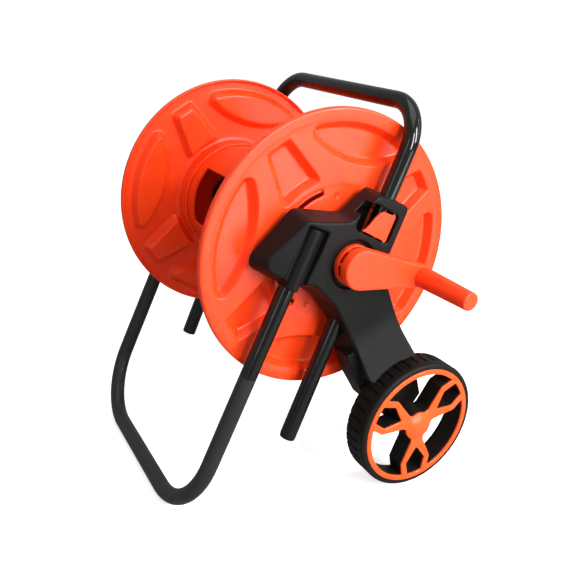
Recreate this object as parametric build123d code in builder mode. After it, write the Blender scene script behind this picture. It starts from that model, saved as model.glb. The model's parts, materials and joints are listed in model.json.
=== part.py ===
from build123d import *
import os
from math import cos, radians, sin, sqrt, tan

# Garden hose reel cart, in millimetres, standing on the ground at z = 0 with its wheels and handle to +X.
# Shapes are drawn on upright planes beside the reel, where x runs to the rear and y runs up from the reel's
# axis. A station is a plane's distance from the cart's mid plane, positive on the crank's side.
os.makedirs("parts", exist_ok=True)

# Reel
axis_height = 322.5
flange_radius = 175.0
flange_span = 296.0
flange_wall = 3.0
rim_width = 16.0
rim_depth = 9.0
rim_round = 2.0
rim_step = 0.7
rim_step_radius = 163.0
hub_step_radius = 85.0
hub_step = 1.2
recess_depth = 12.0
recess_slope = 32.0
recess_corner = 6.0
recess_count = 4
lens_angle = 73.0
lens_half_angle = 31.0
lens_inner_radius = 110.0
lens_corner = 10.0
wedge_angle = 118.0
wedge_inner_radius = 90.5
wedge_half_angle = 19.5
wedge_outer_radius = 157.0
wedge_outer_width = 34.0
wedge_corner = 15.0
slot_inner_radius = 74.5
slot_outer_radius = 83.0
slot_half_angle = 18.0
snap_hole = 5.0
snap_hole_radius = 71.5
snap_hole_spread = 25.0
snap_hook_length = 14.0
collar_length = 24.0
collar_wall = 3.0
drum_radius = 82.0
drum_wall = 3.0
drum_window_start = 2.0
drum_window_length = 98.0
drum_window_angle = 163.0
drum_window_spread = 60.0

# Tubes
tube_diameter = 21.0
tube_wall = 1.5
tube_track = 336.0
handle_lean = 65.1
handle_offset = 30.3
handle_top = 202.5
handle_bottom = 240.0
handle_bend = 55.0
plug_cap = 3.0
plug_depth = 16.0
plug_taper = 12.0
leg_lean = 63.3
leg_offset = -57.0
leg_top = 20.0
leg_joint = 172.0
foot_bend = 84.0
spigot_length = 30.0
swage_length = 2.0

# Side brackets
bracket_back = 157.0
bracket_front = 194.0
bracket_wall = 3.5
bracket_round = 2.5
wing_slope = 9.0
wing_slope_start = -42.0
hub_recess_radius = 30.0
hub_recess_floor = 189.0
boss_inner_end = 149.0
boss_radius = 13.2
arm_offset = 25.0
arm_end = 87.0
guide_wall = 3.0
guide_length = 12.0
lower_guide = -92.0
middle_guide = -36.0
guide_rib = 4.0
guide_rib_width = 88.0
channel_half_width = 13.9
channel_floor = 185.0
channel_end = 5.0
socket_wall = 3.0
socket_mouth = 52.0
emboss_offset = -64.0
emboss_radius = 9.0
emboss_centre = 184.5
fender_start = (33.0, -82.0)
fender_turn = 17.0
fender_scoop = 26.0
fender_slope = 18.0
fender_length = 90.0
fender_root = 180.0

# Handle latches
latch_gap = 0.8
latch_end_gap = 1.6
latch_face = 190.3
latch_thickness = 2.6
latch_barrel = 2.2
latch_pin_diameter = 2.4
latch_pin_station = 188.2
latch_pin_inset = 3.2
latch_pad_width = 6.0
latch_pad_length = 12.0
latch_pad_gap = 0.4
latch_lug = 5.0
latch_lug_width = 7.0

# Spindles, crank and grip
spindle_diameter = 18.0
spindle_disc_radius = 32.0
spindle_disc = 4.0
spindle_square = 12.6
spindle_square_start = 190.0
spindle_square_end = 202.0
spindle_screw_circle = 24.0
spindle_screw_count = 4
inlet_spindle_end = 187.5
inlet_spindle_collar = 11.0
screw_diameter = 3.5
screw_head_diameter = 7.0
screw_head = 2.0
screw_cross = 0.9
screw_cross_depth = 1.0
spindle_screw_length = 6.5
leg_screw_length = 8.0
leg_screw_sink = 0.8
crank_screw_diameter = 6.0
crank_screw_head_diameter = 12.0
crank_screw_head = 4.5
crank_screw_socket = 2.2
crank_screw_end = 211.0
crank_front = 216.0
crank_plate = 12.0
crank_draft = 5.0
crank_hub_radius = 25.5
crank_end_radius = 14.5
crank_round = 2.5
crank_throw = 92.4
crank_angle = -16.2
cup_radius = 25.0
cup_wall = 2.2
cup_floor = 2.0
cup_rim = 197.0
cup_back = 189.6
cup_rib = 2.4
cup_rib_count = 8
crank_boss_radius = 12.5
grip_base_radius = 13.2
grip_tip_radius = 11.2
grip_end = 299.0
grip_gap = 0.4
grip_round = 2.5
grip_pin_diameter = 8.0
grip_pin_head_diameter = 14.0
grip_pin_head = 2.5
grip_pin_end = 288.0
grip_pin_bead = 0.6
grip_pin_bead_length = 4.0
grip_pin_bead_inset = 12.0

# Water way
inlet_plate_radius = 20.0
inlet_plate = 4.0
inlet_body_radius = 11.0
inlet_body_end = 203.0
nipple_radius = 8.0
nipple_end = 227.0
nipple_groove = 1.2
nipple_groove_start = 205.0
nipple_groove_width = 4.0
spigot_radius = 6.5
spigot_bore = 3.6
spigot_end = 150.0
seal_section = 1.6
seal_stations = (158.0, 166.0)
inlet_screw_offset = 16.5
inlet_screw_length = 10.0
elbow_radius = 8.0
elbow_wall = 3.0
elbow_bend = 16.0
elbow_station = 30.0
elbow_reach = 64.0
elbow_seat = 132.0
elbow_spigot_length = 14.0

# Wheels
wheel_x = 88.0
tyre_radius = 90.0
wheel_inner = 194.0
wheel_outer = 232.0
tyre_round = 4.0
trim_seat = 230.0
trim_thickness = 3.0
trim_outer_radius = 82.5
trim_inner_radius = 75.5
rim_groove_inner_radius = 79.0
rim_groove_outer_radius = 85.6
rim_groove_end = 224.0
wheel_hub_radius = 20.0
wheel_hub_inner = 193.5
web_inner = 206.0
spoke_count = 3
spoke_angle = 270.0
spoke_round = 2.0
spoke_outline = [(10, 10), (24, 10), (55, 24), (rim_groove_inner_radius, 20)]
spoke_gap = [(33, 0), (55, 15.5), (76, 11.5)]
dome_height = 5.5
dome_wall = 2.0
dome_cavity_radius = 11.0
tread_count = 40
tread_width = 3.4
tread_depth = 2.2
sipe_width = 1.6
sipe_depth = 1.2
tread_shoulder = 10.0
axle_diameter = 10.0
axle_boss_radius = 17.0
axle_boss_face = 192.5
axle_end = 233.6
push_nut_radius = 9.0
push_nut = 1.6
push_nut_gap = 0.4
arch_gap = 4.0
arch_face = 190.5

# Clearances
running_gap = 0.05
sliding_gap = 0.35
fit_gap = 0.05

# Sizes worked out from those above
tube_radius = tube_diameter / 2
tube_station = tube_track / 2
leg_screw_seat = tube_station - tube_radius - socket_wall + leg_screw_sink
flange_face = flange_span / 2
flange_back = flange_face - hub_step - flange_wall
pin_radius = latch_pin_diameter / 2
spindle_radius = spindle_diameter / 2
screw_radius = screw_diameter / 2
axle_radius = axle_diameter / 2
wheel_z = tyre_radius - axis_height
wheel_centre = (wheel_x, wheel_z)
dome_face = trim_seat + trim_thickness + dome_height
arch_radius = tyre_radius + arch_gap
cut_reach = 2 * axis_height
crank_back = crank_front - crank_plate
grip_x = crank_throw * cos(radians(crank_angle))
grip_z = crank_throw * sin(radians(crank_angle))


def lean_point(lean, offset, along):
    """Point of a leaning tube's centre line, across and up from the reel's axis."""
    tilt = radians(lean)
    return (offset * sin(tilt) + along * cos(tilt), along * sin(tilt) - offset * cos(tilt))


foot_z = tube_radius - axis_height
foot_along = (foot_z + leg_offset * cos(radians(leg_lean))) / sin(radians(leg_lean))
foot_x = lean_point(leg_lean, leg_offset, foot_along)[0]

# Place of the reel's axis, which centres the whole cart over the origin
axis_x = -(foot_x - tube_radius + wheel_x + tyre_radius) / 2
axis_y = (grip_end - dome_face) / 2


def place(x, z, station):
    """Point in the cart's own frame, from its place beside the reel's axis."""
    return (axis_x + x, axis_y - station, axis_height + z)


def side_plane(station):
    """Upright plane at a station, facing the crank's side."""
    return Plane(origin=place(0, 0, station), x_dir=(1, 0, 0), z_dir=(0, -1, 0))


def lean_plane(lean, station):
    """Side plane turned so that its y runs up along a leaning tube and its x runs square to it."""
    tilt = radians(lean)
    return Plane(origin=place(0, 0, station), x_dir=(sin(tilt), 0, -cos(tilt)), z_dir=(0, -1, 0))


def tube_plane(lean, offset, along, station):
    """Plane square to a leaning tube, facing up along it."""
    x, z = lean_point(lean, offset, along)
    tilt = radians(lean)
    return Plane(origin=place(x, z, station), x_dir=(0, 1, 0), z_dir=(cos(tilt), 0, sin(tilt)))


def handle_spot(along, station):
    return place(*lean_point(handle_lean, handle_offset, along), station)


def leg_spot(along, station):
    return place(*lean_point(leg_lean, leg_offset, along), station)


def handle_point(across, along):
    """Point of the bracket's arm: across from the arm's middle and up along it."""
    return lean_point(handle_lean, arm_offset + across, along)


def rounded(points, radii, inset=0.0):
    """Closed outline with rounded corners, drawn in by a wall where inset is given."""
    with BuildSketch() as outline:
        with BuildLine():
            FilletPolyline(*points, radius=radii, close=True)
        make_face()
        if inset:
            offset(amount=-inset, kind=Kind.INTERSECTION)
    return outline.sketch


mid_plane = Plane(origin=place(0, 0, 0), z_dir=(0, 1, 0))

# Foot tube: a U whose swaged ends plug into the two leg tubes
with BuildPart() as foot_tube:
    with BuildLine() as foot_path:
        FilletPolyline(
            leg_spot(-leg_joint, tube_station),
            leg_spot(foot_along, tube_station),
            leg_spot(foot_along, -tube_station),
            leg_spot(-leg_joint, -tube_station),
            radius=foot_bend,
        )
    with BuildSketch(Plane(origin=foot_path.line @ 0, z_dir=foot_path.line % 0)):
        Circle(tube_radius)
        Circle(tube_radius - tube_wall, mode=Mode.SUBTRACT)
    sweep()
    spigot_outer = tube_radius - tube_wall - fit_gap
    for side in (tube_station, -tube_station):
        joint_plane = tube_plane(leg_lean, leg_offset, -leg_joint, side)
        with BuildSketch(joint_plane):
            Circle(spigot_outer)
            Circle(spigot_outer - tube_wall, mode=Mode.SUBTRACT)
        extrude(amount=spigot_length)
        with BuildSketch(joint_plane):
            Circle(tube_radius)
            Circle(spigot_outer - tube_wall, mode=Mode.SUBTRACT)
        extrude(amount=-swage_length)

# Leg tubes, each with a hole for its screw
with BuildPart() as crank_side_leg_tube:
    with BuildSketch(tube_plane(leg_lean, leg_offset, -leg_joint, tube_station)):
        Circle(tube_radius)
        Circle(tube_radius - tube_wall, mode=Mode.SUBTRACT)
    extrude(amount=leg_joint + leg_top)
    with BuildSketch(side_plane(tube_station)):
        with Locations(lean_point(leg_lean, leg_offset, 0)):
            Circle(screw_radius + fit_gap)
    extrude(amount=-tube_diameter, mode=Mode.SUBTRACT)

with BuildPart() as inlet_side_leg_tube:
    mirror(crank_side_leg_tube.part, about=mid_plane)

# Handle tube: an upside-down U whose legs run down through the brackets
with BuildPart() as handle_tube:
    with BuildLine() as handle_path:
        FilletPolyline(
            handle_spot(-handle_bottom, tube_station),
            handle_spot(handle_top, tube_station),
            handle_spot(handle_top, -tube_station),
            handle_spot(-handle_bottom, -tube_station),
            radius=handle_bend,
        )
    with BuildSketch(Plane(origin=handle_path.line @ 0, z_dir=handle_path.line % 0)):
        Circle(tube_radius)
        Circle(tube_radius - tube_wall, mode=Mode.SUBTRACT)
    sweep()

with BuildPart() as handle_end_plugs:
    for side in (tube_station, -tube_station):
        end_plane = tube_plane(handle_lean, handle_offset, -handle_bottom, side)
        with BuildSketch(end_plane):
            Circle(tube_radius - tube_wall - fit_gap)
        extrude(amount=plug_depth)
        with BuildSketch(end_plane):
            Circle(tube_radius)
        extrude(amount=-plug_cap, taper=plug_taper)

# Bracket outline: each corner at the back edge, at the front face, and its rounding
body_corners = [
    ((-128, 14), (-113, 15), 14),
    ((-63, 70), (-60, 61), 11),
    ((2, 55.5), (-4, 52.5), 14),
    (handle_point(-25, 90), handle_point(-28, 85), 7),
    (handle_point(24, 89), handle_point(22, 86), 6),
    (handle_point(24, 24), handle_point(22, 22), 12),
    ((55, -14), (51, -14), 16),
    ((58, -40), (54, -40), 8),
    ((80, -100), (76, -100), 20),
    ((99, -160), (95, -160), 6),
    ((30, -192), (30, -187), 6),
    ((13, -162), (19.5, -150), 60),
    ((-1, -124), (10, -121), 60),
    ((-13, -79), (-3, -88), 20),
    ((-37, -42), (-22, -50), 20),
    ((-56, -28), (-50, -17), 8),
    ((-80, -19), (-76, -9), 8),
]
body_back = [corner[0] for corner in body_corners]
body_front = [corner[1] for corner in body_corners]
body_radii = [corner[2] for corner in body_corners]

# Fender over the wheel: its outline, and the rounding of each corner
fender_outline = [(-8, -60), (3, -96), (20.5, -157), (60, -176), (99, -152), (77, -104), (58, -50)]
fender_radii = [4, 20, 8, 4, 6, 20, 4]

# Leg behind the wheel, down to the axle
leg_outline = [
    (-1, -124),
    (13, -162),
    (33, -200),
    (wheel_x - 12, wheel_z - 13),
    (wheel_x + 16, wheel_z - 8),
    (wheel_x + 36, wheel_z + 16),
    (wheel_x + 29, wheel_z + 42),
    (97, -158),
    (70, -110),
]


def wing_cut(depth):
    """Wedge in front of the sloping wing, seen from above."""
    drop = tan(radians(wing_slope))
    with BuildSketch() as wedge:
        Polygon(
            (axis_x + wing_slope_start, axis_y - bracket_front + depth),
            (axis_x + wing_slope_start, axis_y - bracket_front - cut_reach),
            (axis_x + wing_slope_start - cut_reach, axis_y - bracket_front - cut_reach),
            (axis_x + wing_slope_start - cut_reach, axis_y - bracket_front + depth + cut_reach * drop),
            align=None,
        )
    return wedge.sketch


def fender(inset=0.0):
    """Fender that rises in a hollow sweep from the bracket's front, drawn in by a wall for its inside."""
    turn, slope = radians(fender_turn), radians(fender_slope)
    foot = bracket_front - inset
    knee = foot + fender_scoop * tan(slope / 2)
    lip = knee + (fender_length - fender_scoop) * tan(slope)
    sweep_plane = Plane(
        origin=place(*fender_start, 0),
        x_dir=(sin(turn), 0, -cos(turn)),
        z_dir=(-cos(turn), 0, -sin(turn)),
    )
    with BuildPart() as form:
        with BuildSketch(sweep_plane):
            with BuildLine():
                TangentArc((0, foot), (fender_scoop, knee), tangent=(1, 0))
                Polyline(
                    (fender_scoop, knee),
                    (fender_length, lip),
                    (fender_length, fender_root),
                    (0, fender_root),
                    (0, foot),
                )
            make_face()
        extrude(amount=cut_reach / 2, both=True)
        with BuildSketch(side_plane(fender_root)):
            add(rounded(fender_outline, fender_radii, inset))
        extrude(amount=cut_reach, mode=Mode.INTERSECT)
    return form.part


def turning_plane(x, z):
    """Level plane through an axle: its x runs out from the axle and its y is the station."""
    return Plane(origin=place(x, z, 0), x_dir=(1, 0, 0), z_dir=(0, 0, -1))


def turning_axis(x, z):
    return Axis(place(x, z, 0), (0, -1, 0))


# Window in the arm and the latch's free edge in it, across from the arm's middle and up along it
window_corners = [(-43.5, 40), (-42, 77.5), (12, 71.5), (11.5, 35)]
window_radii = [7.5, 16, 5, 5]
latch_edge = [(-29.5, 40.8), (-19.5, 57), (-9, 70.3)]
window_outline = [(arm_offset + across, along) for across, along in window_corners]
window_left, window_top, window_right, window_foot = window_outline

with BuildPart() as bracket_outer:
    with BuildSketch(side_plane(bracket_back)):
        add(rounded(body_back, body_radii))
    with BuildSketch(side_plane(bracket_front)):
        add(rounded(body_front, body_radii))
    loft(ruled=True)
    with BuildSketch(Plane.XY):
        add(wing_cut(0))
    extrude(amount=cut_reach, mode=Mode.SUBTRACT)
    front_slope = cos(radians(2 * wing_slope))
    front_faces = bracket_outer.faces().filter_by(lambda face: face.normal_at().Y < -front_slope)
    fillet(front_faces.edges(), bracket_round)
    add(fender())
    with BuildSketch(side_plane(arch_face)):
        with Locations(wheel_centre):
            Circle(arch_radius)
    extrude(amount=cut_reach, mode=Mode.SUBTRACT)
    with BuildSketch(side_plane(bracket_back)):
        Polygon(*leg_outline, align=None)
        with Locations(wheel_centre):
            Circle(axle_boss_radius)
    extrude(amount=arch_face - bracket_back)
    with BuildSketch(side_plane(hub_recess_floor)):
        Circle(hub_recess_radius)
    extrude(amount=cut_reach, mode=Mode.SUBTRACT)
    with BuildSketch(lean_plane(leg_lean, channel_floor)):
        with Locations((emboss_offset, leg_top + channel_end)):
            Rectangle(2 * channel_half_width, leg_joint, align=(Align.CENTER, Align.MAX))
    extrude(amount=cut_reach, mode=Mode.SUBTRACT)

with BuildPart() as bracket_cavity:
    with BuildSketch(side_plane(bracket_back)):
        add(rounded(body_back, body_radii, bracket_wall))
    with BuildSketch(side_plane(bracket_front - bracket_wall)):
        add(rounded(body_front, body_radii, bracket_wall))
    loft(ruled=True)
    with BuildSketch(Plane.XY):
        add(wing_cut(bracket_wall))
    extrude(amount=cut_reach, mode=Mode.SUBTRACT)
    add(fender(bracket_wall))
    with BuildSketch(side_plane(arch_face - bracket_wall)):
        with Locations(wheel_centre):
            Circle(arch_radius + bracket_wall)
    extrude(amount=cut_reach, mode=Mode.SUBTRACT)
    with BuildSketch(side_plane(bracket_back)):
        Polygon(*leg_outline, align=None)
        offset(amount=-bracket_wall)
    extrude(amount=arch_face - bracket_wall - bracket_back)
    with BuildSketch(side_plane(hub_recess_floor - bracket_wall)):
        Circle(hub_recess_radius + bracket_wall)
    extrude(amount=cut_reach, mode=Mode.SUBTRACT)
    with BuildSketch(lean_plane(leg_lean, channel_floor - bracket_wall)):
        with Locations((emboss_offset, leg_top + channel_end + bracket_wall)):
            Rectangle(2 * (channel_half_width + bracket_wall), leg_joint, align=(Align.CENTER, Align.MAX))
    extrude(amount=cut_reach, mode=Mode.SUBTRACT)

# Plates across the bracket that guide the handle tube below the reel's axis, and a wall behind the window
with BuildPart() as bracket_ribs:
    for along in (lower_guide, middle_guide):
        with BuildSketch(tube_plane(handle_lean, handle_offset, along, tube_station)):
            Rectangle(2 * (bracket_front - tube_station), guide_rib_width)
        extrude(amount=guide_rib)
    with BuildSketch(lean_plane(handle_lean, bracket_back)):
        with Locations((handle_offset - tube_radius - sliding_gap, arm_end)):
            Rectangle(guide_rib_width, arm_end - window_foot[1] / 2, align=(Align.MAX, Align.MAX))
    extrude(amount=bracket_wall)
    add(bracket_outer.part, mode=Mode.INTERSECT)

# Latch and its pin: the latch lies in the window and swings on the side by the window's right edge
pin_across = min(window_right[0], window_foot[0]) - latch_pin_inset
latch_right = pin_across + latch_pin_inset - latch_gap
latch_low = window_foot[1] + latch_end_gap
latch_high = window_right[1] - latch_end_gap
lug_low = window_foot[1] - latch_lug
lug_high = window_right[1]

with BuildPart() as crank_side_bracket:
    add(bracket_outer.part)
    add(bracket_cavity.part, mode=Mode.SUBTRACT)
    add(bracket_ribs.part)
    with BuildSketch(side_plane(boss_inner_end)):
        Circle(boss_radius)
    extrude(amount=hub_recess_floor - boss_inner_end)
    with BuildSketch(side_plane(bracket_back)):
        with Locations(wheel_centre):
            Circle(axle_boss_radius)
    extrude(amount=axle_boss_face - bracket_back)
    # Socket for the leg tube, and the half-round form that it makes on the front
    socket_radius = tube_radius + socket_wall
    forms = ((leg_offset, tube_station, socket_radius), (emboss_offset, emboss_centre, emboss_radius))
    for across, station, radius in forms:
        with BuildSketch(tube_plane(leg_lean, across, -socket_mouth, station)):
            Circle(radius)
        extrude(amount=socket_mouth + leg_top + socket_wall)
    # Sleeve that guides the handle tube at the top of the arm, and the lugs of the latch pin
    with BuildSketch(tube_plane(handle_lean, handle_offset, arm_end - guide_length, tube_station)):
        Circle(tube_radius + sliding_gap + guide_wall)
    extrude(amount=guide_length)
    with BuildSketch(lean_plane(handle_lean, bracket_front - bracket_wall)):
        with Locations((pin_across, lug_low), (pin_across, lug_high)):
            Rectangle(latch_lug_width, latch_lug, align=(Align.CENTER, Align.MIN))
    extrude(amount=tube_station + tube_radius + 2 * latch_pad_gap - bracket_front + bracket_wall)
    # Window, tube ways and bores
    with BuildSketch(lean_plane(handle_lean, tube_station + tube_radius)):
        add(rounded(window_outline, window_radii))
    extrude(amount=cut_reach, mode=Mode.SUBTRACT)
    with BuildSketch(tube_plane(handle_lean, handle_offset, -handle_bottom, tube_station)):
        Circle(tube_radius + sliding_gap)
    extrude(amount=handle_bottom + handle_top, mode=Mode.SUBTRACT)
    with BuildSketch(tube_plane(leg_lean, leg_offset, -leg_joint, tube_station)):
        Circle(tube_radius + fit_gap)
    extrude(amount=leg_joint + leg_top, mode=Mode.SUBTRACT)
    with BuildSketch(tube_plane(handle_lean, pin_across, lug_low, latch_pin_station)):
        Circle(pin_radius + fit_gap)
    extrude(amount=lug_high + latch_lug - lug_low, mode=Mode.SUBTRACT)
    with BuildSketch(side_plane(boss_inner_end)):
        Circle(spindle_radius + running_gap)
    extrude(amount=hub_recess_floor, mode=Mode.SUBTRACT)
    with BuildSketch(side_plane(bracket_back)):
        with Locations(wheel_centre):
            Circle(axle_radius + fit_gap)
    extrude(amount=axle_boss_face, mode=Mode.SUBTRACT)
    # Seat and hole of the leg screw
    with BuildSketch(side_plane(leg_screw_seat)):
        with Locations(lean_point(leg_lean, leg_offset, 0)):
            Circle(screw_head_diameter / 2 + sliding_gap)
    extrude(amount=-leg_screw_seat, mode=Mode.SUBTRACT)
    with BuildSketch(side_plane(leg_screw_seat)):
        with Locations(lean_point(leg_lean, leg_offset, 0)):
            Circle(screw_radius + fit_gap)
    extrude(amount=tube_station - leg_screw_seat, mode=Mode.SUBTRACT)

# The inlet's bracket is the same, with two screw bosses for the inlet's plate
inlet_screw_spots = [lean_point(handle_lean, 0, side) for side in (inlet_screw_offset, -inlet_screw_offset)]
inlet_boss_back = hub_recess_floor + inlet_plate - inlet_screw_length - 2 * bracket_wall
with BuildPart() as inlet_side_bracket:
    add(crank_side_bracket.part)
    with BuildSketch(side_plane(inlet_boss_back)):
        with Locations(*inlet_screw_spots):
            Circle(screw_head_diameter / 2)
        Circle(spindle_radius + running_gap, mode=Mode.SUBTRACT)
    extrude(amount=hub_recess_floor - inlet_boss_back)
    with BuildSketch(side_plane(hub_recess_floor)):
        with Locations(*inlet_screw_spots):
            Circle(screw_radius + fit_gap)
    extrude(amount=inlet_boss_back + bracket_wall - hub_recess_floor, mode=Mode.SUBTRACT)
    mirror(about=mid_plane, mode=Mode.REPLACE)


def screw(spots, seat, length):
    """Cross-head screws driven outboard, their heads seated at a station."""
    with BuildPart() as screws:
        with BuildSketch(side_plane(seat)):
            with Locations(*spots):
                Circle(screw_head_diameter / 2)
        extrude(amount=-screw_head)
        with BuildSketch(side_plane(seat)):
            with Locations(*spots):
                Circle(screw_radius)
        extrude(amount=length)
        with BuildSketch(side_plane(seat - screw_head)):
            with Locations(*spots):
                Rectangle(screw_head_diameter / 2, screw_cross)
                Rectangle(screw_cross, screw_head_diameter / 2)
        extrude(amount=screw_cross_depth, mode=Mode.SUBTRACT)
    return screws.part


with BuildPart() as leg_screws:
    add(screw([lean_point(leg_lean, leg_offset, 0)], leg_screw_seat, leg_screw_length))
    mirror(about=mid_plane)

# Latches
with BuildPart() as crank_side_latch:
    with BuildSketch(lean_plane(handle_lean, latch_face)):
        tip, middle, crest = [(arm_offset + across, along) for across, along in latch_edge]
        with BuildLine():
            Polyline(crest, (latch_right, latch_high), (latch_right, latch_low), tip)
            Spline(tip, middle, crest, tangents=[(1.0, 0.5), (1.0, 0.5)])
        make_face()
    extrude(amount=-latch_thickness)
    fillet(crank_side_latch.faces().sort_by(Axis.Y)[0].edges(), latch_gap)
    with BuildSketch(tube_plane(handle_lean, pin_across, latch_low, latch_pin_station)):
        Circle(latch_barrel)
    extrude(amount=latch_high - latch_low)
    with BuildSketch(lean_plane(handle_lean, tube_station + tube_radius + latch_pad_gap)):
        with Locations((handle_offset, (latch_low + latch_high) / 2)):
            Rectangle(latch_pad_width, latch_pad_length)
    extrude(amount=latch_face - latch_thickness - tube_station - tube_radius - latch_pad_gap)
    with BuildSketch(tube_plane(handle_lean, pin_across, lug_low, latch_pin_station)):
        Circle(pin_radius + running_gap)
    extrude(amount=lug_high + latch_lug - lug_low, mode=Mode.SUBTRACT)

with BuildPart() as inlet_side_latch:
    mirror(crank_side_latch.part, about=mid_plane)

with BuildPart() as latch_pins:
    with BuildSketch(tube_plane(handle_lean, pin_across, lug_low, latch_pin_station)):
        Circle(pin_radius)
    extrude(amount=lug_high + latch_lug - lug_low)
    mirror(about=mid_plane)


# Flanges
recess_reach = flange_radius - rim_width


def lens_recess(grow=0.0):
    """Lens-shaped outline about the x axis, grown or drawn in."""
    side = radians(lens_half_angle)
    sag = recess_reach * cos(side) - lens_inner_radius
    bow = ((recess_reach * sin(side)) ** 2 + sag**2) / (2 * sag)
    bow_x = lens_inner_radius + bow
    outer, inner = recess_reach + grow, bow + grow
    tip_x = (bow_x**2 + outer**2 - inner**2) / (2 * bow_x)
    tip_y = sqrt(outer**2 - tip_x**2)
    with BuildSketch() as outline:
        with BuildLine():
            ThreePointArc((tip_x, -tip_y), (outer, 0), (tip_x, tip_y))
            ThreePointArc((tip_x, tip_y), (bow_x - inner, 0), (tip_x, -tip_y))
        make_face()
        fillet(outline.vertices(), lens_corner + grow)
    return outline.sketch


def wedge_recess(grow=0.0):
    """Outline that narrows towards the rim, about the x axis, grown or drawn in."""
    side = radians(wedge_half_angle)
    inner_x, inner_y = wedge_inner_radius * cos(side), wedge_inner_radius * sin(side)
    with BuildSketch() as outline:
        with BuildLine():
            ThreePointArc((inner_x, -inner_y), (wedge_inner_radius, 0), (inner_x, inner_y))
            Polyline(
                (inner_x, inner_y),
                (wedge_outer_radius, wedge_outer_width / 2),
                (wedge_outer_radius, -wedge_outer_width / 2),
                (inner_x, -inner_y),
            )
        make_face()
        outer_corners = outline.vertices().group_by(Axis.X)[-1]
        fillet(outline.vertices().group_by(Axis.X)[0], recess_corner)
        fillet(outer_corners, wedge_corner)
        if grow:
            offset(amount=grow)
    return outline.sketch


def recess(outline, angle, wall=0.0):
    """Sloping recess of an outline, turned about the reel's axis, or its skin where a wall is given."""
    depth = recess_depth + wall
    with BuildPart() as form:
        for drop in (0, depth):
            with BuildSketch(side_plane(flange_face - drop)):
                with Locations(Rotation(0, 0, angle)):
                    add(outline(wall - drop * tan(radians(recess_slope))))
        loft(ruled=True)
    return form.part


recess_turns = [turn * 360 / recess_count for turn in range(recess_count)]
recess_spots = [(lens_recess, lens_angle + turn) for turn in recess_turns]
recess_spots += [(wedge_recess, wedge_angle + turn) for turn in recess_turns]


def ring_sector(inner, outer, half_angle):
    """Piece of a ring about the x axis."""
    side = radians(half_angle)
    inner_x, inner_y = inner * cos(side), inner * sin(side)
    outer_x, outer_y = outer * cos(side), outer * sin(side)
    with BuildSketch() as sector:
        with BuildLine():
            ThreePointArc((outer_x, -outer_y), (outer, 0), (outer_x, outer_y))
            Line((outer_x, outer_y), (inner_x, inner_y))
            ThreePointArc((inner_x, inner_y), (inner, 0), (inner_x, -inner_y))
            Line((inner_x, -inner_y), (outer_x, -outer_y))
        make_face()
    return sector.sketch


with BuildPart() as crank_side_flange:
    with BuildSketch(side_plane(flange_face)):
        Circle(flange_radius)
    extrude(amount=-flange_wall)
    with BuildSketch(side_plane(flange_face)):
        Circle(flange_radius)
        Circle(flange_radius - flange_wall, mode=Mode.SUBTRACT)
    extrude(amount=-rim_depth)
    with BuildSketch(side_plane(flange_back)):
        Circle(hub_step_radius + flange_wall)
    extrude(amount=flange_face - flange_wall - flange_back)
    with BuildSketch(side_plane(flange_back)):
        Circle(drum_radius + fit_gap + collar_wall)
        Circle(drum_radius + fit_gap, mode=Mode.SUBTRACT)
    extrude(amount=-collar_length)
    for outline, angle in recess_spots:
        add(recess(outline, angle, flange_wall))
    for outline, angle in recess_spots:
        add(recess(outline, angle), mode=Mode.SUBTRACT)
    for radius, depth in ((rim_step_radius, rim_step), (hub_step_radius, hub_step)):
        with BuildSketch(side_plane(flange_face)):
            Circle(radius)
        extrude(amount=-depth, mode=Mode.SUBTRACT)
    # Slots, hook holes, spindle hole and the blind holes of the spindle screws
    with BuildSketch(side_plane(flange_face)):
        with PolarLocations(0, recess_count, start_angle=wedge_angle):
            add(ring_sector(slot_inner_radius, slot_outer_radius, slot_half_angle))
        for angle in (lens_angle - snap_hole_spread / 2, lens_angle + snap_hole_spread / 2):
            with PolarLocations(snap_hole_radius, recess_count, start_angle=angle):
                Rectangle(snap_hole, snap_hole)
        Circle(spindle_radius + fit_gap)
    extrude(amount=flange_back - flange_face, mode=Mode.SUBTRACT)
    with BuildSketch(side_plane(flange_back)):
        with PolarLocations(spindle_screw_circle, spindle_screw_count):
            Circle(screw_radius + fit_gap)
    extrude(amount=spindle_screw_length - spindle_disc, mode=Mode.SUBTRACT)
    fillet(crank_side_flange.faces().sort_by(Axis.Y)[0].outer_wire().edges(), rim_round)

with BuildPart() as inlet_side_flange:
    mirror(crank_side_flange.part, about=mid_plane)

# Drum, with hooks in the flanges' square holes and a window for the hose
with BuildPart() as drum:
    with BuildSketch(side_plane(flange_back - fit_gap)):
        Circle(drum_radius)
        Circle(drum_radius - drum_wall, mode=Mode.SUBTRACT)
    extrude(amount=2 * (fit_gap - flange_back))
    hook = snap_hole - 2 * sliding_gap
    hook_foot = snap_hole_radius - hook / 2
    for side in (1, -1):
        for angle in (lens_angle - snap_hole_spread / 2, lens_angle + snap_hole_spread / 2):
            with BuildSketch(side_plane(side * (flange_back - fit_gap))):
                with PolarLocations(hook_foot, recess_count, start_angle=angle):
                    Rectangle(drum_radius - drum_wall / 2 - hook_foot, hook, align=(Align.MIN, Align.CENTER))
            extrude(amount=-side * snap_hook_length)
            with BuildSketch(side_plane(side * (flange_back - fit_gap))):
                with PolarLocations(hook_foot, recess_count, start_angle=angle):
                    Rectangle(hook, hook, align=(Align.MIN, Align.CENTER))
            extrude(amount=side * flange_wall)
    window_side = radians(drum_window_spread / 2)
    window_reach = 2 * drum_radius
    with BuildSketch(side_plane(-drum_window_start)):
        with Locations(Rotation(0, 0, drum_window_angle)):
            Polygon(
                (0, 0),
                (window_reach * cos(window_side), -window_reach * sin(window_side)),
                (window_reach * cos(window_side), window_reach * sin(window_side)),
                align=None,
            )
    extrude(amount=-drum_window_length, mode=Mode.SUBTRACT)

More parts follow.
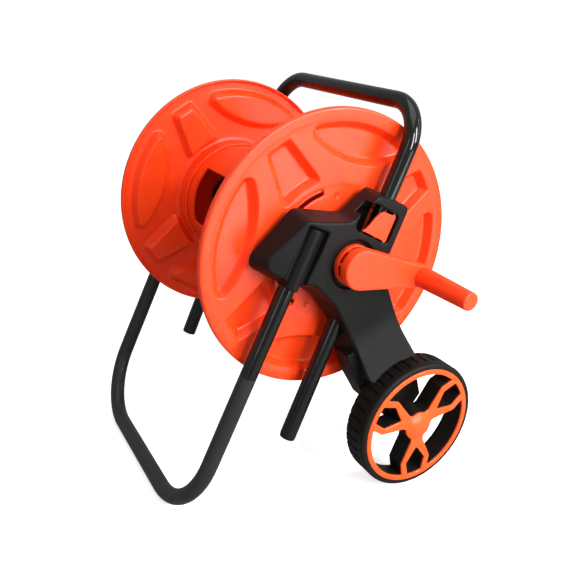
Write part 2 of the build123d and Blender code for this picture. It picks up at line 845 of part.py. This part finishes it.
# Spindles, screwed on behind the flanges
with BuildPart() as crank_spindle:
    with BuildSketch(side_plane(flange_back)):
        Circle(spindle_disc_radius)
    extrude(amount=-spindle_disc)
    with BuildSketch(side_plane(flange_back)):
        Circle(spindle_radius)
    extrude(amount=spindle_square_start - flange_back)
    with BuildSketch(side_plane(spindle_square_start)):
        with Locations(Rotation(0, 0, crank_angle)):
            Rectangle(spindle_square, spindle_square)
    extrude(amount=spindle_square_end - spindle_square_start)
    with BuildSketch(side_plane(flange_back)):
        with PolarLocations(spindle_screw_circle, spindle_screw_count):
            Circle(screw_radius + fit_gap)
        Circle(crank_screw_diameter / 2 + fit_gap)
    extrude(amount=-spindle_disc, mode=Mode.SUBTRACT)
    with BuildSketch(side_plane(flange_back)):
        Circle(crank_screw_diameter / 2 + fit_gap)
    extrude(amount=spindle_square_end, mode=Mode.SUBTRACT)

with BuildPart() as inlet_spindle:
    with BuildSketch(side_plane(flange_back)):
        Circle(spindle_disc_radius)
    extrude(amount=-spindle_disc)
    with BuildSketch(side_plane(flange_back)):
        Circle(spindle_radius)
    extrude(amount=inlet_spindle_end - flange_back)
    with BuildSketch(side_plane(elbow_seat)):
        Circle(inlet_spindle_collar)
    extrude(amount=flange_back - spindle_disc - elbow_seat)
    with BuildSketch(side_plane(flange_back)):
        with PolarLocations(spindle_screw_circle, spindle_screw_count):
            Circle(screw_radius + fit_gap)
    extrude(amount=-spindle_disc, mode=Mode.SUBTRACT)
    with BuildSketch(side_plane(elbow_seat)):
        Circle(spigot_radius + running_gap)
    extrude(amount=inlet_spindle_end, mode=Mode.SUBTRACT)
    mirror(about=mid_plane, mode=Mode.REPLACE)

with BuildPart() as spindle_screws:
    spots = [location.position for location in PolarLocations(spindle_screw_circle, spindle_screw_count)]
    add(screw([(spot.X, spot.Y) for spot in spots], flange_back - spindle_disc, spindle_screw_length))
    mirror(about=mid_plane)

# Crank arm: a tapered arm on a ribbed cup, with a square socket for the spindle
with BuildPart() as crank_arm:
    for station, inset in ((crank_back, 0), (crank_front, crank_plate * tan(radians(crank_draft)))):
        with BuildSketch(side_plane(station)):
            Circle(crank_hub_radius - inset)
            with Locations((grip_x, grip_z)):
                Circle(crank_end_radius - inset)
            make_hull()
    loft(ruled=True)
    fillet(crank_arm.faces().sort_by(Axis.Y)[0].edges(), crank_round)
    with BuildSketch(side_plane(cup_back)):
        Circle(cup_radius)
    extrude(amount=cup_floor)
    with BuildSketch(side_plane(cup_back)):
        Circle(cup_radius)
        Circle(cup_radius - cup_wall, mode=Mode.SUBTRACT)
    extrude(amount=cup_rim - cup_back)
    with BuildSketch(side_plane(cup_back)):
        Circle(crank_boss_radius)
        with PolarLocations(0, cup_rib_count, start_angle=crank_angle):
            Rectangle(cup_radius - cup_wall / 2, cup_rib, align=(Align.MIN, Align.CENTER))
    extrude(amount=crank_back - cup_back)
    with BuildSketch(side_plane(cup_back)):
        with Locations(Rotation(0, 0, crank_angle)):
            Rectangle(spindle_square + 2 * fit_gap, spindle_square + 2 * fit_gap)
    extrude(amount=spindle_square_end + fit_gap - cup_back, mode=Mode.SUBTRACT)
    with BuildSketch(side_plane(cup_back)):
        Circle(spindle_radius + fit_gap)
    extrude(amount=spindle_square_start - cup_back + fit_gap, mode=Mode.SUBTRACT)
    with BuildSketch(side_plane(spindle_square_end)):
        Circle(crank_screw_diameter / 2 + fit_gap)
    extrude(amount=crank_screw_end + fit_gap - spindle_square_end, mode=Mode.SUBTRACT)
    with BuildSketch(side_plane(crank_back)):
        with Locations((grip_x, grip_z)):
            Circle(grip_pin_diameter / 2 + fit_gap)
    extrude(amount=crank_plate, mode=Mode.SUBTRACT)
    with BuildSketch(side_plane(crank_back)):
        with Locations((grip_x, grip_z)):
            Circle(grip_pin_head_diameter / 2 + fit_gap)
    extrude(amount=grip_pin_head, mode=Mode.SUBTRACT)

with BuildPart() as crank_screw:
    with BuildSketch(side_plane(flange_back - spindle_disc)):
        Circle(crank_screw_diameter / 2)
    extrude(amount=crank_screw_end - flange_back + spindle_disc)
    with BuildSketch(side_plane(flange_back - spindle_disc)):
        Circle(crank_screw_head_diameter / 2)
    extrude(amount=-crank_screw_head)
    with BuildSketch(side_plane(flange_back - spindle_disc - crank_screw_head)):
        RegularPolygon(crank_screw_diameter / 2, 6)
    extrude(amount=crank_screw_socket, mode=Mode.SUBTRACT)

# Grip on its pin, kept there by a bead on the pin's end
pin_r = grip_pin_diameter / 2
bead_foot = grip_pin_end - grip_pin_bead_inset
with BuildPart() as grip_pin:
    with BuildSketch(turning_plane(grip_x, grip_z)):
        with BuildLine():
            Polyline(
                (0, crank_back),
                (grip_pin_head_diameter / 2, crank_back),
                (grip_pin_head_diameter / 2, crank_back + grip_pin_head),
                (pin_r, crank_back + grip_pin_head),
                (pin_r, bead_foot),
                (pin_r + grip_pin_bead, bead_foot + grip_pin_bead),
                (pin_r + grip_pin_bead, bead_foot + grip_pin_bead_length - grip_pin_bead),
                (pin_r, bead_foot + grip_pin_bead_length),
                (pin_r, grip_pin_end),
                (0, grip_pin_end),
                close=True,
            )
        make_face()
    revolve(axis=turning_axis(grip_x, grip_z))

with BuildPart() as crank_grip:
    grip_base = crank_front + grip_gap
    bore = pin_r + running_gap
    room = grip_pin_bead + grip_gap
    with BuildSketch(turning_plane(grip_x, grip_z)):
        with BuildLine():
            Polyline(
                (bore, grip_base),
                (grip_base_radius, grip_base),
                (grip_tip_radius, grip_end),
                (0, grip_end),
                (0, grip_pin_end + grip_gap),
                (bore, grip_pin_end + grip_gap),
                (bore, bead_foot + grip_pin_bead_length + grip_gap),
                (bore + room, bead_foot + grip_pin_bead_length + grip_gap - room),
                (bore + room, bead_foot - grip_gap + room),
                (bore, bead_foot - grip_gap),
                close=True,
            )
        make_face()
    revolve(axis=turning_axis(grip_x, grip_z))
    fillet(crank_grip.faces().sort_by(Axis.Y)[0].edges(), grip_round)

# Water inlet: a fixed plate with the hose nipple outside and a sealed spigot in the turning spindle
groove_radius = spigot_radius - seal_section - fit_gap
with BuildPart() as water_inlet:
    with BuildSketch(side_plane(hub_recess_floor)):
        Circle(inlet_plate_radius)
    extrude(amount=inlet_plate)
    with BuildSketch(side_plane(hub_recess_floor)):
        Circle(inlet_body_radius)
    extrude(amount=inlet_body_end - hub_recess_floor)
    with BuildSketch(side_plane(inlet_body_end)):
        Circle(nipple_radius)
    extrude(amount=nipple_end - inlet_body_end)
    with BuildSketch(side_plane(spigot_end)):
        Circle(spigot_radius)
    extrude(amount=hub_recess_floor - spigot_end)
    chamfer(water_inlet.faces().sort_by(Axis.Y)[0].edges(), nipple_groove)
    with BuildSketch(side_plane(spigot_end)):
        Circle(spigot_bore)
    extrude(amount=nipple_end - spigot_end, mode=Mode.SUBTRACT)
    with BuildSketch(side_plane(hub_recess_floor)):
        with Locations(*inlet_screw_spots):
            Circle(screw_radius + fit_gap)
    extrude(amount=inlet_plate, mode=Mode.SUBTRACT)
    with BuildSketch(side_plane(nipple_groove_start)):
        Circle(nipple_radius)
        Circle(nipple_radius - nipple_groove, mode=Mode.SUBTRACT)
    extrude(amount=nipple_groove_width, mode=Mode.SUBTRACT)
    for station in seal_stations:
        with BuildSketch(side_plane(station)):
            Circle(spigot_radius)
            Circle(groove_radius, mode=Mode.SUBTRACT)
        extrude(amount=seal_section / 2 + fit_gap, both=True, mode=Mode.SUBTRACT)
    mirror(about=mid_plane, mode=Mode.REPLACE)

with BuildPart() as inlet_seals:
    for station in seal_stations:
        with BuildSketch(turning_plane(0, 0)):
            with Locations((spigot_radius - seal_section / 2, -station)):
                Circle(seal_section / 2)
        revolve(axis=turning_axis(0, 0))

with BuildPart() as inlet_screws:
    add(screw(inlet_screw_spots, -hub_recess_floor - inlet_plate, inlet_screw_length))

# Elbow that carries the water from the spindle out to the drum's window
with BuildPart() as hose_elbow:
    turn = radians(drum_window_angle)
    with BuildLine() as elbow_path:
        FilletPolyline(
            place(0, 0, -elbow_seat),
            place(0, 0, -elbow_station),
            place(elbow_reach * cos(turn), elbow_reach * sin(turn), -elbow_station),
            radius=elbow_bend,
        )
    with BuildSketch(Plane(origin=elbow_path.line @ 0, z_dir=elbow_path.line % 0)):
        Circle(elbow_radius)
        Circle(elbow_radius - elbow_wall, mode=Mode.SUBTRACT)
    sweep()
    with BuildSketch(side_plane(-elbow_seat)):
        Circle(spigot_radius)
        Circle(elbow_radius - elbow_wall, mode=Mode.SUBTRACT)
    extrude(amount=-elbow_spigot_length)

# Wheels: one black moulding each, with three forked spokes
def spokes():
    """The forked spokes about a wheel's centre."""
    edge = spoke_outline + [(along, -half) for along, half in reversed(spoke_outline)]
    gap = spoke_gap + [(along, -half) for along, half in reversed(spoke_gap[1:])]
    with BuildSketch() as outline:
        with PolarLocations(0, spoke_count, start_angle=spoke_angle):
            Polygon(*edge, align=None)
        with PolarLocations(0, spoke_count, start_angle=spoke_angle):
            add(rounded(gap, spoke_round), mode=Mode.SUBTRACT)
        with Locations((0, 0)):
            Circle(wheel_hub_radius)
    return outline.sketch


with BuildPart() as crank_side_wheel:
    with BuildSketch(side_plane(wheel_inner)):
        with Locations(wheel_centre):
            Circle(tyre_radius)
            Circle(trim_inner_radius, mode=Mode.SUBTRACT)
    extrude(amount=wheel_outer - wheel_inner)
    fillet(crank_side_wheel.edges().filter_by(GeomType.CIRCLE).group_by(SortBy.RADIUS)[-1], tyre_round)
    with BuildSketch(side_plane(wheel_inner)):
        with Locations(wheel_centre):
            Circle(rim_groove_outer_radius)
    extrude(amount=web_inner - wheel_inner, mode=Mode.SUBTRACT)
    with BuildSketch(side_plane(web_inner)):
        with Locations(wheel_centre):
            add(spokes())
    extrude(amount=trim_seat - web_inner)
    with BuildSketch(side_plane(wheel_hub_inner)):
        with Locations(wheel_centre):
            Circle(wheel_hub_radius)
    extrude(amount=trim_seat - wheel_hub_inner)
    with BuildSketch(side_plane(trim_seat)):
        with Locations(wheel_centre):
            Circle(trim_outer_radius + fit_gap)
    extrude(amount=wheel_outer - trim_seat, mode=Mode.SUBTRACT)
    with BuildSketch(side_plane(web_inner)):
        with Locations(wheel_centre):
            Circle(rim_groove_outer_radius)
            Circle(rim_groove_inner_radius, mode=Mode.SUBTRACT)
    extrude(amount=rim_groove_end - web_inner, mode=Mode.SUBTRACT)
    with BuildSketch(side_plane(wheel_inner)):
        with Locations(wheel_centre):
            with PolarLocations(tyre_radius, tread_count):
                Rectangle(2 * tread_depth, tread_width)
            with PolarLocations(tyre_radius, tread_count, start_angle=180 / tread_count):
                Rectangle(2 * sipe_depth, sipe_width)
    extrude(amount=wheel_outer - wheel_inner - tread_shoulder, mode=Mode.SUBTRACT)
    with BuildSketch(side_plane(wheel_hub_inner)):
        with Locations(wheel_centre):
            Circle(axle_radius + running_gap)
    extrude(amount=wheel_outer, mode=Mode.SUBTRACT)

with BuildPart() as crank_side_wheel_trim:
    with BuildSketch(side_plane(trim_seat)):
        with Locations(wheel_centre):
            Circle(trim_outer_radius)
            Circle(trim_inner_radius, mode=Mode.SUBTRACT)
            add(spokes())
    extrude(amount=trim_thickness)
    dome_foot = trim_seat + trim_thickness
    dome_curve = (wheel_hub_radius**2 + dome_height**2) / (2 * dome_height)
    with BuildSketch(turning_plane(wheel_x, wheel_z)):
        with BuildLine():
            RadiusArc((wheel_hub_radius, dome_foot), (0, dome_face), -dome_curve)
            Polyline((0, dome_face), (0, dome_foot), (wheel_hub_radius, dome_foot))
        make_face()
    revolve(axis=turning_axis(wheel_x, wheel_z))
    with BuildSketch(side_plane(trim_seat)):
        with Locations(wheel_centre):
            Circle(dome_cavity_radius)
    extrude(amount=trim_thickness + dome_height - dome_wall, mode=Mode.SUBTRACT)

with BuildPart() as inlet_side_wheel:
    mirror(crank_side_wheel.part, about=mid_plane)

with BuildPart() as inlet_side_wheel_trim:
    mirror(crank_side_wheel_trim.part, about=mid_plane)

# Axle and its push nuts, under the domes
with BuildPart() as wheel_axle:
    with BuildSketch(side_plane(-axle_end)):
        with Locations(wheel_centre):
            Circle(axle_radius)
    extrude(amount=2 * axle_end)

with BuildPart() as axle_push_nuts:
    with BuildSketch(side_plane(trim_seat + push_nut_gap)):
        with Locations(wheel_centre):
            Circle(push_nut_radius)
            Circle(axle_radius + fit_gap, mode=Mode.SUBTRACT)
    extrude(amount=push_nut)
    mirror(about=mid_plane)

pieces = {
    "foot_tube": foot_tube,
    "crank_side_leg_tube": crank_side_leg_tube,
    "inlet_side_leg_tube": inlet_side_leg_tube,
    "leg_screws": leg_screws,
    "handle_tube": handle_tube,
    "handle_end_plugs": handle_end_plugs,
    "crank_side_bracket": crank_side_bracket,
    "inlet_side_bracket": inlet_side_bracket,
    "crank_side_latch": crank_side_latch,
    "inlet_side_latch": inlet_side_latch,
    "latch_pins": latch_pins,
    "crank_side_flange": crank_side_flange,
    "inlet_side_flange": inlet_side_flange,
    "drum": drum,
    "crank_spindle": crank_spindle,
    "inlet_spindle": inlet_spindle,
    "spindle_screws": spindle_screws,
    "crank_arm": crank_arm,
    "crank_screw": crank_screw,
    "grip_pin": grip_pin,
    "crank_grip": crank_grip,
    "water_inlet": water_inlet,
    "inlet_seals": inlet_seals,
    "inlet_screws": inlet_screws,
    "hose_elbow": hose_elbow,
    "crank_side_wheel": crank_side_wheel,
    "crank_side_wheel_trim": crank_side_wheel_trim,
    "inlet_side_wheel": inlet_side_wheel,
    "inlet_side_wheel_trim": inlet_side_wheel_trim,
    "wheel_axle": wheel_axle,
    "axle_push_nuts": axle_push_nuts,
}
for label, piece in pieces.items():
    piece.part.label = label
    export_step(piece.part, f"parts/{label}.step")
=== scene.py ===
import json

import bpy
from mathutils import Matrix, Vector

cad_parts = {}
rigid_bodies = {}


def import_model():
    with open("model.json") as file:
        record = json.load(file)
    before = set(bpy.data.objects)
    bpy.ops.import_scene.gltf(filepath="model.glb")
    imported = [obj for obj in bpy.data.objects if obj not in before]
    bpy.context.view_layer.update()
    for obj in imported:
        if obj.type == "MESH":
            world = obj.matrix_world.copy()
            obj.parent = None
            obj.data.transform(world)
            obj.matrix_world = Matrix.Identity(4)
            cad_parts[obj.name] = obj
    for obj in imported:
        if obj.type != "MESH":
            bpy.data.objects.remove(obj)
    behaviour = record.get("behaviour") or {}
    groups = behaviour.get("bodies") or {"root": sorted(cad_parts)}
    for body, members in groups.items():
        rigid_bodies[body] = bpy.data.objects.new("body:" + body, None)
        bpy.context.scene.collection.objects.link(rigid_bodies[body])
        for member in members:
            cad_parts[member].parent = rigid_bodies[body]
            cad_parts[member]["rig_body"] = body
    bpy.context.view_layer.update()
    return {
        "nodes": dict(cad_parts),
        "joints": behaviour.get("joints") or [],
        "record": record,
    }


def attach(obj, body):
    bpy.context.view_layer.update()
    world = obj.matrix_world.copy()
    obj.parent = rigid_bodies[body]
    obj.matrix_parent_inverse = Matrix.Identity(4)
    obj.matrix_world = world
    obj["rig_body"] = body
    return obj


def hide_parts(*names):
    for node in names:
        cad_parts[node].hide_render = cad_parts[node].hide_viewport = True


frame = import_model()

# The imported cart: +X is the rear, the crank is on the -Y side and the water inlet on the +Y side
nodes = frame["nodes"]
joints = {joint["name"]: joint for joint in frame["joints"]}
reel_centre = Vector(joints["reel_spin"]["pos_m"])

# Camera, solved from the photograph's flanges and tubes
PHOTO_SIDE = 570
FOCAL_PIXELS = 681.8
SENSOR_WIDTH = 36.0
CAMERA_FROM_REEL = Vector((-0.4327, -0.8017, 0.2972))
CAMERA_FORWARD = Vector((0.4484, 0.8000, -0.3989))

# Colours, linear
ORANGE = (0.98, 0.062, 0.008)
ORANGE_DEEP = (0.97, 0.053, 0.005)
ORANGE_GLOW = (1.0, 0.10, 0.03)
TRIM_ORANGE = (0.98, 0.100, 0.012)
TRIM_DEEP = (0.97, 0.085, 0.009)
BLACK = (0.0062, 0.0060, 0.0057)
BLACK_WORN = (0.0086, 0.0083, 0.0079)
TYRE_BLACK = (0.0065, 0.0060, 0.0052)
TYRE_DUSTY = (0.0100, 0.0092, 0.0080)
PAINT_BLACK = (0.0040, 0.0040, 0.0038)
PAINT_BLACK_WORN = (0.0060, 0.0060, 0.0058)
PAINT_GREY = (0.0175, 0.0172, 0.0164)
PAINT_GREY_WORN = (0.0225, 0.0221, 0.0210)
STEEL = (0.58, 0.58, 0.60)
STEEL_DULL = (0.40, 0.40, 0.42)
RUBBER = (0.016, 0.016, 0.016)
RUBBER_DUSTY = (0.028, 0.028, 0.028)
FLOOR = (0.90, 0.90, 0.90)
FLOOR_BOUNCE = (0.30, 0.30, 0.30)
WHITE = (1.0, 1.0, 1.0)

# Finishes: noise detail, its spread about the middle, the gloss, the grain, the rubbed edges and the glow
CLOUD_DETAIL = 4.0
FINE_DETAIL = 3.0
NOISE_CONTRAST = 0.25
GLOSS_CLOUDS = 5
GLOSSIER = 0.05
DULLER = 0.06
GRAIN_STRENGTH = 0.5
EDGE_START = 0.53
EDGE_FULL = 0.62
EDGE_WEAR = 0.55
GLOW_WEIGHT = 0.5
GLOW_DEPTH = 0.006

# Recess floors of the flanges: distance from the cart's mid plane and blend up to the face, in metres
RECESS_STATION = 0.137
RECESS_BLEND = 0.002
RECESS_ROUGHNESS = 0.28

# Softened mouldings: voxel in metres, rounds of smoothing and share of the faces kept
SMOOTH_FACTOR = 0.5
SIDE_MOULDINGS = {
    "flange": (0.0010, 14, 0.35),
    "bracket": (0.0009, 14, 0.35),
    "wheel": (0.0008, 4, 0.35),
    "wheel_trim": (0.0006, 5, 0.35),
    "latch": (0.0004, 3, 0.4),
}
CRANK_MOULDINGS = {
    "crank_arm": (0.0005, 5, 0.35),
    "crank_grip": (0.0005, 3, 0.35),
}

# Studio: floor and sky, and each lamp's place and size in metres and power in watts
FLOOR_SIDE = 60
FLOOR_ROUGHNESS = 0.9
FLOOR_SPECULAR = 0.1
FLOOR_LIFT = 0.62
SKY = 0.42
LAMPS = {
    "left_key": ((0.16, -1.42, 1.05), (0.22, 0.8), 18),
    "right_key": ((0.85, -1.25, 1.00), (0.22, 0.8), 22),
    "top_panel": ((0.10, -0.20, 1.80), (1.2, 1.2), 8),
    "low_card": ((0.55, -1.40, 0.18), (0.9, 0.3), 4.5),
    "floor_card": ((0.30, -0.98, 0.05), (0.4, 0.12), 0.8),
    "left_strip": ((-1.6, -1.2, 1.2), (0.12, 1.6), 5),
    "right_strip": ((1.9, -0.9, 1.0), (0.12, 1.6), 4),
}


def opaque(colour):
    """A colour with full alpha."""
    return (*colour, 1.0)


def add_node(tree, kind, **values):
    """A shader node with its properties and its unlinked inputs set."""
    node = tree.nodes.new(kind)
    for key, value in values.items():
        if key in node.inputs:
            node.inputs[key].default_value = value
        else:
            setattr(node, key, value)
    return node


def new_material(name):
    """An empty node material, with its tree and its Principled shader."""
    material = bpy.data.materials.new(name)
    material.use_nodes = True
    tree = material.node_tree
    shader = tree.nodes["Principled BSDF"]
    return material, tree, shader


def noise(tree, scale, detail):
    """Noise over the piece's own place, in cells per metre."""
    where = add_node(tree, "ShaderNodeTexCoord")
    texture = add_node(tree, "ShaderNodeTexNoise", Scale=scale, Detail=detail)
    tree.links.new(where.outputs["Object"], texture.inputs["Vector"])
    return texture.outputs["Fac"]


def ranged(tree, value, start, end, low=0.0, high=1.0):
    """A value that runs from low to high as another runs from start to end."""
    node = add_node(tree, "ShaderNodeMapRange")
    node.inputs["From Min"].default_value = start
    node.inputs["From Max"].default_value = end
    node.inputs["To Min"].default_value = low
    node.inputs["To Max"].default_value = high
    tree.links.new(value, node.inputs["Value"])
    return node.outputs["Result"]


def spread(tree, fac, low, high):
    """A noise factor spread about its middle to run from low to high."""
    return ranged(tree, fac, 0.5 - NOISE_CONTRAST, 0.5 + NOISE_CONTRAST, low, high)


def mixed(tree, fac, first, second):
    """A colour between two, each a colour or an output."""
    node = add_node(tree, "ShaderNodeMix", data_type="RGBA")
    tree.links.new(fac, node.inputs["Factor"])
    for socket, colour in ((node.inputs["A"], first), (node.inputs["B"], second)):
        if isinstance(colour, tuple):
            socket.default_value = opaque(colour)
        else:
            tree.links.new(colour, socket)
    return node.outputs["Result"]


def recess_floor(tree):
    """A factor that is one on the flanges' recess floors, which lie nearer to the cart's mid plane."""
    where = add_node(tree, "ShaderNodeTexCoord")
    split = add_node(tree, "ShaderNodeSeparateXYZ")
    tree.links.new(where.outputs["Object"], split.inputs["Vector"])
    station = add_node(tree, "ShaderNodeMath", operation="SUBTRACT")
    station.inputs[1].default_value = reel_centre.y
    tree.links.new(split.outputs["Y"], station.inputs[0])
    away = add_node(tree, "ShaderNodeMath", operation="ABSOLUTE")
    tree.links.new(station.outputs["Value"], away.inputs[0])
    return ranged(tree, away.outputs["Value"], RECESS_STATION + RECESS_BLEND, RECESS_STATION)


def polish(material, roughness):
    """Makes a flange's recess floors glossier than its face."""
    tree = material.node_tree
    shader = tree.nodes["Principled BSDF"]
    uneven = shader.inputs["Roughness"].links[0].from_socket
    choice = add_node(tree, "ShaderNodeMix", data_type="FLOAT")
    choice.inputs["B"].default_value = roughness
    tree.links.new(recess_floor(tree), choice.inputs["Factor"])
    tree.links.new(uneven, choice.inputs["A"])
    tree.links.new(choice.outputs["Result"], shader.inputs["Roughness"])


def surface(name, colour, other, roughness, grain, grain_depth, cloud, edge=None, sockets=None):
    """A moulded or painted surface: clouded colour, uneven gloss, a fine grain and rubbed edges."""
    material, tree, shader = new_material(name)
    tint = mixed(tree, spread(tree, noise(tree, cloud, CLOUD_DETAIL), 0.0, 1.0), colour, other)
    if edge:
        geometry = add_node(tree, "ShaderNodeNewGeometry")
        rubbed = ranged(tree, geometry.outputs["Pointiness"], EDGE_START, EDGE_FULL, high=EDGE_WEAR)
        tint = mixed(tree, rubbed, tint, edge)
    tree.links.new(tint, shader.inputs["Base Color"])
    clouds = noise(tree, GLOSS_CLOUDS * cloud, FINE_DETAIL)
    gloss = spread(tree, clouds, roughness - GLOSSIER, roughness + DULLER)
    tree.links.new(gloss, shader.inputs["Roughness"])
    bump = add_node(tree, "ShaderNodeBump", Strength=GRAIN_STRENGTH, Distance=grain_depth)
    tree.links.new(noise(tree, grain, FINE_DETAIL), bump.inputs["Height"])
    tree.links.new(bump.outputs["Normal"], shader.inputs["Normal"])
    for socket, value in (sockets or {}).items():
        shader.inputs[socket].default_value = value
    return material


def make_materials():
    """The cart's finishes, by the record's material slot."""
    matt = {"Specular IOR Level": 0.12}
    glow = {"Specular IOR Level": 0.38, "Subsurface Weight": GLOW_WEIGHT, "Subsurface Radius": ORANGE_GLOW,
            "Subsurface Scale": GLOW_DEPTH}
    flange = surface("flange_moulding", ORANGE, ORANGE_DEEP, roughness=0.36, grain=900,
                     grain_depth=0.00004, cloud=9.0, sockets=glow)
    polish(flange, RECESS_ROUGHNESS)
    latch = surface("orange_moulding", ORANGE, ORANGE_DEEP, roughness=0.36, grain=900,
                    grain_depth=0.00004, cloud=9.0, sockets=glow)
    crank = surface("orange_crank", ORANGE, ORANGE_DEEP, roughness=0.45, grain=1100,
                    grain_depth=0.00005, cloud=12.0, sockets=glow)
    trim = surface("orange_trim", TRIM_ORANGE, TRIM_DEEP, roughness=0.24, grain=700,
                   grain_depth=0.00003, cloud=16.0)
    black = surface("black_moulding", BLACK, BLACK_WORN, roughness=0.42, grain=1500,
                    grain_depth=0.00008, cloud=11.0, edge=BLACK_WORN, sockets=matt)
    tyre = surface("tyre_moulding", TYRE_BLACK, TYRE_DUSTY, roughness=0.50, grain=1200,
                   grain_depth=0.00012, cloud=18.0, edge=TYRE_DUSTY, sockets=matt)
    black_paint = surface("black_paint", PAINT_BLACK, PAINT_BLACK_WORN, roughness=0.10, grain=260,
                          grain_depth=0.00002, cloud=20.0, sockets={"Specular IOR Level": 0.4})
    grey_paint = surface("grey_paint", PAINT_GREY, PAINT_GREY_WORN, roughness=0.34, grain=420,
                         grain_depth=0.00004, cloud=16.0, sockets={"Specular IOR Level": 0.3})
    fitting = surface("fitting_moulding", BLACK_WORN, BLACK, roughness=0.40, grain=1300,
                      grain_depth=0.00006, cloud=15.0)
    rubber = surface("seal_rubber", RUBBER, RUBBER_DUSTY, roughness=0.60, grain=800,
                     grain_depth=0.00006, cloud=14.0)
    zinc = surface("zinc_plate", STEEL, STEEL_DULL, roughness=0.32, grain=600,
                   grain_depth=0.00004, cloud=30.0, sockets={"Metallic": 1.0})
    return {
        "flange_plastic": flange,
        "crank_plastic": crank,
        "latch_plastic": latch,
        "trim_plastic": trim,
        "bracket_plastic": black,
        "wheel_plastic": tyre,
        "black_tube": black_paint,
        "grey_tube": grey_paint,
        "plug_plastic": black,
        "fitting_plastic": fitting,
        "seal_rubber": rubber,
        "zinc_steel": zinc,
    }


def apply_modifiers(piece):
    """Gives a piece the mesh that its modifiers make, and drops them."""
    graph = bpy.context.evaluated_depsgraph_get()
    mesh = bpy.data.meshes.new_from_object(piece.evaluated_get(graph))
    piece.modifiers.clear()
    piece.data = mesh


def moulded(node, voxel, rounds, keep):
    """A copy of a CAD piece with the soft edges of a moulding, which stands for it."""
    source = nodes[node]
    piece = bpy.data.objects.new(f"{node}_moulding", source.data.copy())
    bpy.context.scene.collection.objects.link(piece)
    skin = piece.modifiers.new("skin", "REMESH")
    skin.mode = "VOXEL"
    skin.voxel_size = voxel
    soft = piece.modifiers.new("soft", "SMOOTH")
    soft.factor = SMOOTH_FACTOR
    soft.iterations = rounds
    lean = piece.modifiers.new("lean", "DECIMATE")
    lean.ratio = keep
    apply_modifiers(piece)
    piece.data.shade_smooth()
    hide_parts(node)
    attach(piece, source["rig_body"])
    return piece


def make_camera():
    """The camera at the photograph's place, with its focal length."""
    data = bpy.data.cameras.new("photo_camera")
    data.sensor_width = SENSOR_WIDTH
    data.lens = SENSOR_WIDTH * FOCAL_PIXELS / PHOTO_SIDE
    camera = bpy.data.objects.new("photo_camera", data)
    camera.location = reel_centre + CAMERA_FROM_REEL
    camera.rotation_euler = CAMERA_FORWARD.to_track_quat("-Z", "Y").to_euler()
    bpy.context.scene.collection.objects.link(camera)
    bpy.context.scene.camera = camera


def area_light(name, place, size, power):
    """A soft rectangular lamp that faces the reel."""
    data = bpy.data.lights.new(name, "AREA")
    data.shape = "RECTANGLE"
    data.size, data.size_y = size
    data.energy = power
    lamp = bpy.data.objects.new(name, data)
    lamp.location = place
    lamp.rotation_euler = (reel_centre - Vector(place)).to_track_quat("-Z", "Y").to_euler()
    bpy.context.scene.collection.objects.link(lamp)


def seen_by_camera(tree, lighting, view):
    """One shader for the light that it gives and another for the camera's own rays."""
    path = add_node(tree, "ShaderNodeLightPath")
    choice = add_node(tree, "ShaderNodeMixShader")
    tree.links.new(path.outputs["Is Camera Ray"], choice.inputs["Fac"])
    tree.links.new(lighting, choice.inputs[1])
    tree.links.new(view, choice.inputs[2])
    return choice.outputs["Shader"]


def make_floor():
    """A pale floor that the camera sees as white and that throws less light back at the cart."""
    bpy.ops.mesh.primitive_plane_add(size=FLOOR_SIDE)
    floor = bpy.context.object
    floor.name = "floor"
    material, tree, shader = new_material("floor")
    shader.inputs["Base Color"].default_value = opaque(FLOOR)
    shader.inputs["Roughness"].default_value = FLOOR_ROUGHNESS
    shader.inputs["Specular IOR Level"].default_value = FLOOR_SPECULAR
    bounce = add_node(tree, "ShaderNodeBsdfDiffuse", Color=opaque(FLOOR_BOUNCE))
    lift = add_node(tree, "ShaderNodeEmission", Strength=FLOOR_LIFT)
    lifted = add_node(tree, "ShaderNodeAddShader")
    tree.links.new(shader.outputs["BSDF"], lifted.inputs[0])
    tree.links.new(lift.outputs["Emission"], lifted.inputs[1])
    seen = seen_by_camera(tree, bounce.outputs["BSDF"], lifted.outputs["Shader"])
    tree.links.new(seen, tree.nodes["Material Output"].inputs["Surface"])
    floor.data.materials.append(material)


def make_sky():
    """An even sky that the camera sees as white."""
    world = bpy.data.worlds.new("studio")
    world.use_nodes = True
    tree = world.node_tree
    sky = tree.nodes["Background"]
    sky.inputs["Color"].default_value = opaque(WHITE)
    sky.inputs["Strength"].default_value = SKY
    white = add_node(tree, "ShaderNodeBackground", Color=opaque(WHITE))
    seen = seen_by_camera(tree, sky.outputs["Background"], white.outputs["Background"])
    tree.links.new(seen, tree.nodes["World Output"].inputs["Surface"])
    bpy.context.scene.world = world


make_camera()
make_floor()
make_sky()
for name, (place, extent, power) in LAMPS.items():
    area_light(name, place, extent, power)
materials = make_materials()
slot_of = {subpart["node"]: subpart["material_slot"] for subpart in frame["record"]["subparts"]}

mouldings = {f"{side}_{piece}": how for side in ("crank_side", "inlet_side")
             for piece, how in SIDE_MOULDINGS.items()}
softened = {node: moulded(node, *how) for node, how in (mouldings | CRANK_MOULDINGS).items()}

for name, source in nodes.items():
    finish = materials[slot_of[name]]
    for piece in (source, softened.get(name)):
        if piece:
            piece.data.materials.clear()
            piece.data.materials.append(finish)

bpy.context.scene.view_settings.view_transform = "Standard"
